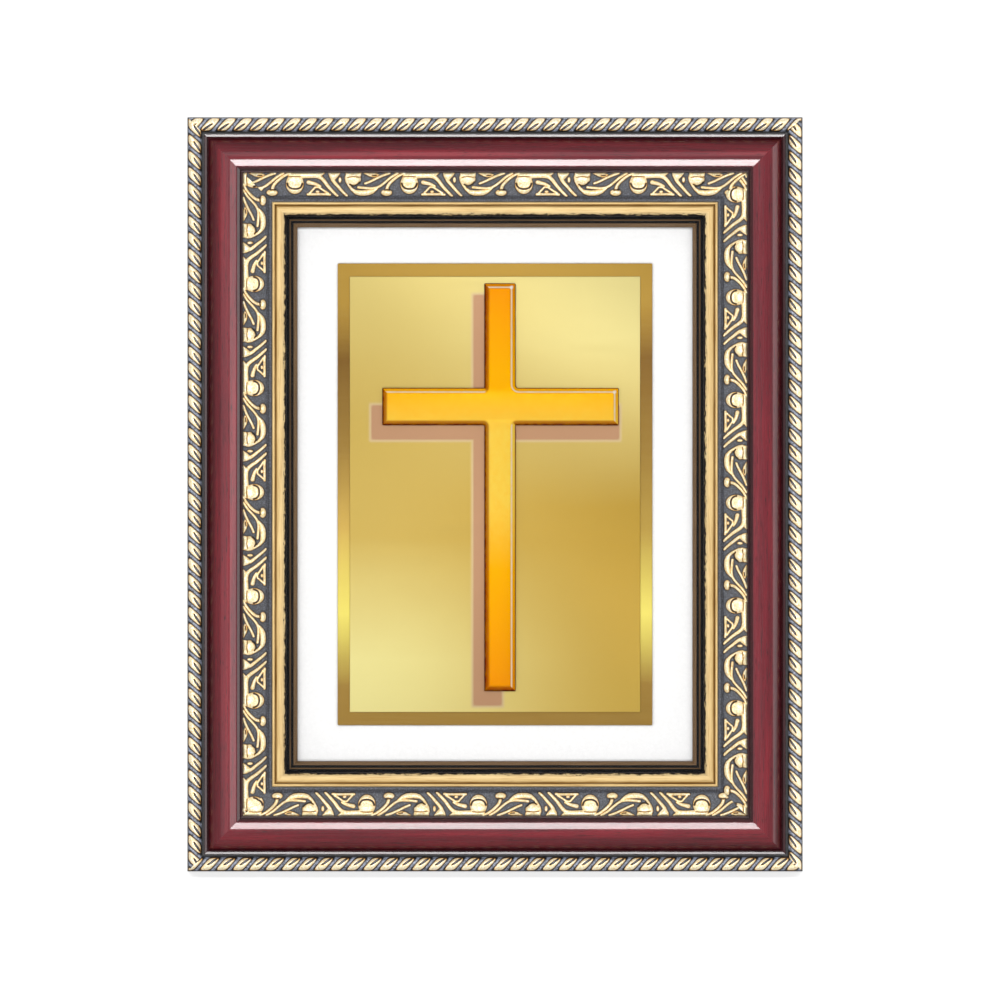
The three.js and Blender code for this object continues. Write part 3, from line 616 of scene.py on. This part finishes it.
def smooth_line(points, steps=6):
    """A curve through the points, each of its stretches cut into steps."""
    p = np.array(points, float)
    p = np.vstack([2 * p[0] - p[1], p, 2 * p[-1] - p[-2]])
    t = np.linspace(0, 1, steps, endpoint=False)[:, None]
    curve = [p[i] + t * (p[i + 1] - p[i - 1]) / 2
             + t ** 2 * (p[i - 1] - 2.5 * p[i] + 2 * p[i + 1] - p[i + 2] / 2)
             + t ** 3 * (1.5 * (p[i] - p[i + 1]) + (p[i + 2] - p[i - 1]) / 2) for i in range(1, len(p) - 2)]
    return np.vstack([*curve, p[-2]])


def line_depth(u, v, points, width_0, width_1):
    """How deep each place lies inside a stroke, and less than 0 outside it."""
    line = smooth_line(points)
    halves = np.linspace(width_0, width_1, len(line)) / 2
    best = np.full(u.shape, -9.0)
    for (p, half_p), (q, half_q) in zip(zip(line, halves), zip(line[1:], halves[1:])):
        step = q - p
        t = np.clip(((u - p[0]) * step[0] + (v - p[1]) * step[1]) / (step @ step), 0, 1)
        away = np.hypot(u - p[0] - t * step[0], v - p[1] - t * step[1])
        best = np.maximum(best, half_p + t * (half_q - half_p) - away)
    return best


def outline_depth(u, v, points):
    """How deep each place lies inside a closed outline, and less than 0 outside it."""
    inside = np.zeros(u.shape, bool)
    away = np.full(u.shape, 9.0)
    for p, q in zip(np.array(points, float), np.array(points[1:] + points[:1], float)):
        step = q - p
        t = np.clip(((u - p[0]) * step[0] + (v - p[1]) * step[1]) / (step @ step), 0, 1)
        away = np.minimum(away, np.hypot(u - p[0] - t * step[0], v - p[1] - t * step[1]))
        if p[1] != q[1]:
            inside ^= ((p[1] > v) != (q[1] > v)) & (u < p[0] + (v - p[1]) * step[0] / step[1])
    return np.where(inside, away, -away)


def dome(depth, reach, height):
    """A rounded rise, from 0 at an edge to height at reach inside it."""
    return height * np.sin(np.pi / 2 * np.clip(depth / reach, 0, 1))


CELL = 0.1  # spacing of the ornament table


def ornament():
    """Tables of the ornament's relief and gilding over one unit, (u, v) by CELL."""
    u, v = np.meshgrid(np.arange(0, UNIT + CELL, CELL), np.arange(0, 8.2, CELL), indexing="ij")
    depth = np.full(u.shape, -9.0)
    lift = np.zeros(u.shape)
    for shift in (-UNIT, 0, UNIT):
        s = u - shift
        for points, width_0, width_1 in STROKES:
            depth = np.maximum(depth, line_depth(s, v, points, width_0, width_1))
        for (cu, cv), (ru, rv), bulge in OVALS:
            oval = (1 - np.hypot((s - cu) / ru, (v - cv) / rv)) * min(ru, rv)
            depth = np.maximum(depth, oval)
            lift += dome(oval, min(ru, rv), bulge)
        for outline in (CRESCENT, *FOOTINGS):
            depth = np.maximum(depth, outline_depth(s, v, outline))
    lift += dome(depth, 0.75, 0.8)
    for shift in (-UNIT, 0, UNIT):
        for points, width in CREASES:
            groove = line_depth(u - shift, v, points, width, width)
            depth = np.minimum(depth, -groove - 0.02)
            lift -= dome(groove + 0.1, 0.2, 0.3)
    return lift, depth


LIFT, DEPTH = ornament()


def sample(table, u, v):
    """Values of a unit's table at any u and v."""
    column, row = np.mod(u, UNIT) / CELL, np.clip(v / CELL, 0, table.shape[1] - 1.001)
    i, j = np.minimum(column.astype(int), table.shape[0] - 2), row.astype(int)
    p, q = column - i, row - j
    return ((1 - p) * (1 - q) * table[i, j] + p * (1 - q) * table[i + 1, j] + (1 - p) * q * table[i, j + 1]
            + p * q * table[i + 1, j + 1])


# Where one boss's middle is along each rail, and the pitch from there to the next
BOSSES = {"bottom": (-4.7, 31.73), "top": (-8.2, 32.55), "left": (-0.6, 29.6), "right": (-2.4, 29.2)}


def scroll_relief(side, a, w):
    boss, pitch = BOSSES[side]
    u, v = (a - boss) * UNIT / pitch, w - SCROLL_W
    lift, depth = sample(LIFT, u, v), sample(DEPTH, u, v)
    cove = np.clip((w - SCROLL_W - BAND) / 0.9, 0, 1)
    return lift * (1 - cove) - 0.5 * cove, np.clip(depth + 0.5, 0, 1.5) * (1 - cove)


def rope_relief(_side, a, w):
    """Twisted lobes on a half-round bead: rounded leaves with a dark comma in each, and black grooves."""
    radius, pitch = ROPE["radius"], ROPE["pitch"]
    across = w - ROPE["w"]
    bead = np.sqrt(np.maximum(radius ** 2 - across ** 2, 0))
    s = (np.mod((a - ROPE["slant"] * across) / pitch, 1) - 0.5) * pitch
    lobe = (1 - ((s / 1.5) ** 4 + ((across + 0.1) / 1.75) ** 4) ** 0.25) * 1.2
    comma = 0.5 - np.hypot(s - 0.15 - 0.5 * (across - 0.6), np.maximum(np.abs(across - 0.6) - 0.5, 0))
    ridge = dome(0.3 - np.abs(np.abs(s) - pitch / 2), 0.3, 0.12)
    inside = np.minimum(lobe, -comma)
    lift = bead * (0.74 + dome(lobe, 0.6, 0.26)) - dome(comma, 0.3, 0.35) + ridge * (lobe < 0)
    return lift, np.clip(inside + 0.5, 0, 1.5)


ROPE_BASE = EDGE_DEPTH + 1.3
FINE = 0.16  # cells of the carved strips
ROPE_SHORT, SCROLL_SHORT = 4, 40  # about how much shorter a strip's middle is than its rail


def moulding(side):
    along = RAILS[side][0]
    run(f"moulding_{side}", side, rail_section(), [MAHOGANY, EBONY, RAW], [f"rail_{side}"])

    steps = round((along - ROPE_SHORT) / FINE)
    low, high = ROPE["w"] - ROPE["radius"], ROPE["w"] + ROPE["radius"]
    top = [(w, ROPE_BASE, 0) for w in np.linspace(low, high, 25)]
    section = [(low, EDGE_DEPTH - 0.1, 1)] + top + [(high, EDGE_DEPTH - 0.1, 1)]
    run(f"rope_{side}", side, section, [ROPE_GILT, EBONY], [f"rope_bead_{side}"], steps,
        rope_relief, 60)

    steps = round((along - SCROLL_SHORT) / FINE)
    low, high = SCROLL_W + 0.05, SIGHT_W - 0.02
    ground = [(w, seat(w) + 1.1, 0) for w in np.linspace(low, high, 50)]
    section = [(low, seat(low), 1)] + ground + [(high, seat(high), 1)]
    run(f"ornament_{side}", side, section, [SCROLL_GILT, EBONY], [f"scroll_strip_{side}"], steps,
        scroll_relief, 60)

    fall = (SIGHT_DEPTH - 0.8 - LIP_BACK - 0.9) / (LIP_W - SIGHT_W)
    low = SIGHT_DEPTH - 0.8
    sight = [(SIGHT_W, low), (SIGHT_W, low + 1.75)] + arc(SIGHT_W + 0.45, low + 1.75, 0.45, 150, 0, 7)
    sight += [(SIGHT_W + 1.0, low + 1.3), (SIGHT_W + 1.25, low + 1.15), (SIGHT_W + 1.55, low + 1.3)]
    sight += [(LIP_W - 0.9, low + 1.4 - 3.2 * fall), (LIP_W - 0.4, low + 1.15 - 3.7 * fall)]
    sight += arc(LIP_W - 0.4, low + 0.75 - 3.7 * fall, 0.4, 80, 0, 4) + [(LIP_W, low - 4.1 * fall)]
    run(f"sight_{side}", side, looked(0, sight), [SIGHT_GILT], [f"sight_edge_{side}"], crease=50)

    back, front = FILLET_BACK, FILLET_FRONT
    fillet = [(REBATE_W + 0.3, back), (REBATE_W + 0.3, front), (LIP_W + 0.7, front)]
    fillet += [(LIP_W + 0.8, front - 0.5)]
    fillet += arc(LIP_W + 1.05, front - 0.6, 0.22, 170, 10, 4)
    fillet += [(LIP_W + 1.35, front - 1.1), (LIP_W + 1.85, front - 1.2), (LIP_W + 1.95, front - 0.9)]
    fillet += [(LIP_W + 2.2, front - 0.95), (FILLET_W - 0.15, front - 2), (FILLET_W, front - 2.3)]
    fillet += [(FILLET_W, back)]
    run(f"inner_fillet_{side}", side, looked(0, fillet), [FILLET_PAINT],
        [f"fillet_{side}"])


for rail in RAILS:
    moulding(rail)


# ---- Plate, panel and cross ----
def offset_outline(corners, radii, inset, steps=5):
    """A right-angled outline moved inwards, its corners rounded, with the side that each point faces."""
    points, facings = [], []
    count = len(corners)
    for i, radius in enumerate(radii):
        before, here, after = (np.array(corners[(i + k) % count], float) for k in (-1, 0, 1))
        into, out = (step / np.linalg.norm(step) for step in (here - before, after - here))
        n1, n2 = np.array([-into[1], into[0]]), np.array([-out[1], out[0]])
        convex = into[0] * out[1] - into[1] * out[0] > 0
        if convex:
            size = max(radius - inset, 0.02)
            middle, sign = here + (inset + size) * (n1 + n2), -1
        else:
            size = radius + inset
            middle, sign = here - radius * (n1 + n2), 1
        for turn in np.linspace(0, math.pi / 2, steps + 1):
            way = sign * (math.cos(turn) * n1 + math.sin(turn) * n2)
            points.append(middle + size * way)
            outward = way if convex else -way
            facings.append(outward[0] + outward[1])
    return np.array(points), np.array(facings)


def relief_plate(name, corners, radii, levels, look, replaced):
    """A plate whose outline steps in from level to level, (inset, depth), from its back to its top."""
    rings = [offset_outline(corners, radii, inset) for inset, _ in levels]
    n = len(rings[0][0])
    points = [(x, -d, z) for (ring, _), (_, d) in zip(rings, levels) for x, z in ring]
    faces = [[k * n + (i + 1) % n, (k + 1) * n + (i + 1) % n, (k + 1) * n + i, k * n + i]
             for k in range(len(levels) - 1) for i in range(n)]
    faces += [list(range(n))[::-1], list(range((len(levels) - 1) * n, len(levels) * n))]
    obj = piece(name, points, faces, [look], replaced, crease=30)
    edge = [(inset, facing, 0) for (_, facings), (inset, _) in zip(rings, levels) for facing in facings]
    store(obj, "edge", edge, "FLOAT_VECTOR")


def rectangle(width, height):
    x, z = width / 2, height / 2
    return [(-x, HEIGHT / 2 - z), (x, HEIGHT / 2 - z), (x, HEIGHT / 2 + z), (-x, HEIGHT / 2 + z)]


back, front = PLATE_DEPTH
relief_plate("gold_plate", rectangle(PLATE_W, PLATE_H), [0.3] * 4,
             [(0.1, back), (0, back + 0.2), (0, front - 0.2), (0.06, front - 0.06), (0.2, front)],
             plate_gold(), ["backing_plate"])
back, front = PANEL_DEPTH
relief_plate("pale_panel", rectangle(PANEL_W, PANEL_H), [0.2] * 4,
             [(0, back), (0, front - 0.15), (0.05, front - 0.05), (0.15, front)],
             panel_gold(), ["foil_panel"])

CROSS = [
    (CROSS_X[1], CROSS_Z[0]), (CROSS_X[2], CROSS_Z[0]), (CROSS_X[2], CROSS_Z[1]), (CROSS_X[3], CROSS_Z[1]),
    (CROSS_X[3], CROSS_Z[2]), (CROSS_X[2], CROSS_Z[2]), (CROSS_X[2], CROSS_Z[3]), (CROSS_X[1], CROSS_Z[3]),
    (CROSS_X[1], CROSS_Z[2]), (CROSS_X[0], CROSS_Z[2]), (CROSS_X[0], CROSS_Z[1]), (CROSS_X[1], CROSS_Z[1]),
]
CROSS_RADII = [0.15, 0.15, 0.3, 0.2, 0.2, 0.9, 0.3, 0.3, 0.25, 0.3, 0.3, 0.3]
back, front = CROSS_DEPTH
relief_plate("gold_cross", CROSS, CROSS_RADII,
             [(0.05, back), (0, back + 0.15), (0, back + 0.9), (0.1, back + 1.1), (0.25, back + 1.2),
              (0.5, back + 1.32), (1.0, back + 1.6), (1.2, back + 1.72), (1.5, front - 0.05), (1.7, front)],
             cross_gold(), ["cross"])


# ---- CAD nodes that stay ----
def dress(node, look, bevel=0.0):
    """Gives a CAD node its look, and rounds its edges."""
    obj = nodes[node]
    obj.data.materials.clear()
    obj.data.materials.append(look)
    if bevel:
        weld = obj.modifiers.new("weld", "WELD")
        weld.merge_threshold = 0.00001
        rounding = obj.modifiers.new("rounding", "BEVEL")
        rounding.width, rounding.segments = bevel * MM, 2
        rounding.limit_method, rounding.angle_limit = "ANGLE", math.radians(40)


def recast(node, look, body="frame", shift=0.0):
    """An own copy of a CAD node, with its round faces shaded smooth and its edges rounded. shift
    brings it out of the frame's back."""
    mesh = bmesh.new()
    mesh.from_mesh(nodes[node].data)
    bmesh.ops.remove_doubles(mesh, verts=mesh.verts, dist=1e-6)
    points = [TO_UPRIGHT @ v.co / MM + Vector((0, shift, 0)) for v in mesh.verts]
    faces = [[v.index for v in face.verts] for face in mesh.faces]
    obj = piece(f"{node}_finish", [tuple(point) for point in points], faces, [look], [node],
                body=body, crease=32)
    mesh.free()
    rounding = obj.modifiers.new("rounding", "BEVEL")
    rounding.width, rounding.segments, rounding.harden_normals = 0.1 * MM, 2, True
    rounding.limit_method, rounding.angle_limit = "ANGLE", math.radians(40)


PAPER = black_paper()
dress("glazing_pane", glass())
dress("mount_card", card())
dress("back_board", PAPER, 0.2)
dress("strut", PAPER, 0.3)
for node in nodes:
    if node.startswith("turn_button"):
        recast(node, BRASS, node.replace("turn_button", "button"))
    elif node in ("hinge_leaf_strut", "strut_rivet_left", "strut_rivet_right"):
        recast(node, BRASS, "easel_strut")
    elif node == "hanging_loop":
        recast(node, BRASS, "loop")
    elif node.startswith(("hinge_leaf", "loop_strap", "board_rivet", "strap_nail")):
        recast(node, BRASS)
    elif node.startswith(("button_screw", "hinge_pin")):
        recast(node, STEEL)
    elif node.startswith("corner_nail"):
        recast(node, STEEL, shift=NAIL_SHIFT)


# ---- Stage, light and camera ----
def disc(name, radius, look, sides=64):
    mesh = bpy.data.meshes.new(name)
    turns = np.linspace(0, 2 * math.pi, sides, endpoint=False)
    ring = [(radius * math.cos(turn), radius * math.sin(turn), 0) for turn in turns]
    mesh.from_pydata(ring, [], [list(range(sides))])
    mesh.materials.append(look)
    obj = bpy.data.objects.new(name, mesh)
    bpy.context.scene.collection.objects.link(obj)


def panel_light(name, azimuth, elevation, distance, size, radiance):
    """A rectangular lamp that faces the frame. Its radiance is in units of the white floor's."""
    lamp = bpy.data.lights.new(name, "AREA")
    lamp.shape, (lamp.size, lamp.size_y) = "RECTANGLE", size
    lamp.energy = radiance * math.pi * size[0] * size[1]
    obj = bpy.data.objects.new(name, lamp)
    bpy.context.scene.collection.objects.link(obj)
    az, el = math.radians(azimuth), math.radians(elevation)
    away = Vector((math.sin(az) * math.cos(el), -math.cos(az) * math.cos(el), math.sin(el)))
    obj.location = CENTRE + away * distance
    obj.rotation_euler = away.to_track_quat("Z", "Y").to_euler()
    obj.visible_camera = False


def world():
    """White behind the object, and a dimmer room in what it reflects."""
    scene_world = bpy.data.worlds.new("studio")
    bpy.context.scene.world = scene_world
    scene_world.use_nodes = True
    tree = scene_world.node_tree
    background = tree.nodes["Background"]
    tree.links.new(seen_or_lit(tree, 1.0, 0.42), background.inputs["Strength"])
    background.inputs["Color"].default_value = (1, 1, 1, 1)


world()
disc("floor", 9, floor_white())
LEAN_DEG = math.degrees(LEAN)
STRIP, STRIP_TILT = (2.2, 0.07), 15.3  # the top and bottom rails' flats mirror these to the camera
panel_light("strip_high", 0, LEAN_DEG + STRIP_TILT, 1.6, STRIP, 33.5)
panel_light("strip_low", 0, LEAN_DEG - STRIP_TILT, 1.6, STRIP, 25)
panel_light("left_near", -15, LEAN_DEG, 1.6, (0.08, 0.6), 3)
panel_light("side_right", 94, 10, 1.5, (0.9, 0.9), 1.9)
panel_light("side_left", -45, 20, 1.5, (0.9, 1.1), 0.5)
panel_light("overhead", 0, 60, 1.6, (1.2, 0.5), 0.8)
panel_light("rear", 180, 35, 1.8, (1.2, 0.8), 2)

VIEW_DISTANCE = 6
VIEW_WIDTH = 281.4 * MM  # what the picture spans at the frame's front
AIM_DROP = 0.2  # how far under the frame's middle the camera aims
camera_data = bpy.data.cameras.new("camera")
camera_data.sensor_width = 36
camera_data.lens = camera_data.sensor_width * VIEW_DISTANCE / VIEW_WIDTH
camera = bpy.data.objects.new("camera", camera_data)
bpy.context.scene.collection.objects.link(camera)
toward = UPRIGHT.to_3x3() @ Vector((0, -1, 0))
aim = UPRIGHT @ Vector((0, FRONT * MM, (HEIGHT / 2 - AIM_DROP) * MM))
camera.location = aim + toward * VIEW_DISTANCE
camera.rotation_euler = toward.to_track_quat("Z", "Y").to_euler()
bpy.context.scene.camera = camera
bpy.context.scene.view_settings.view_transform = "Standard"

bpy.context.view_layer.update()
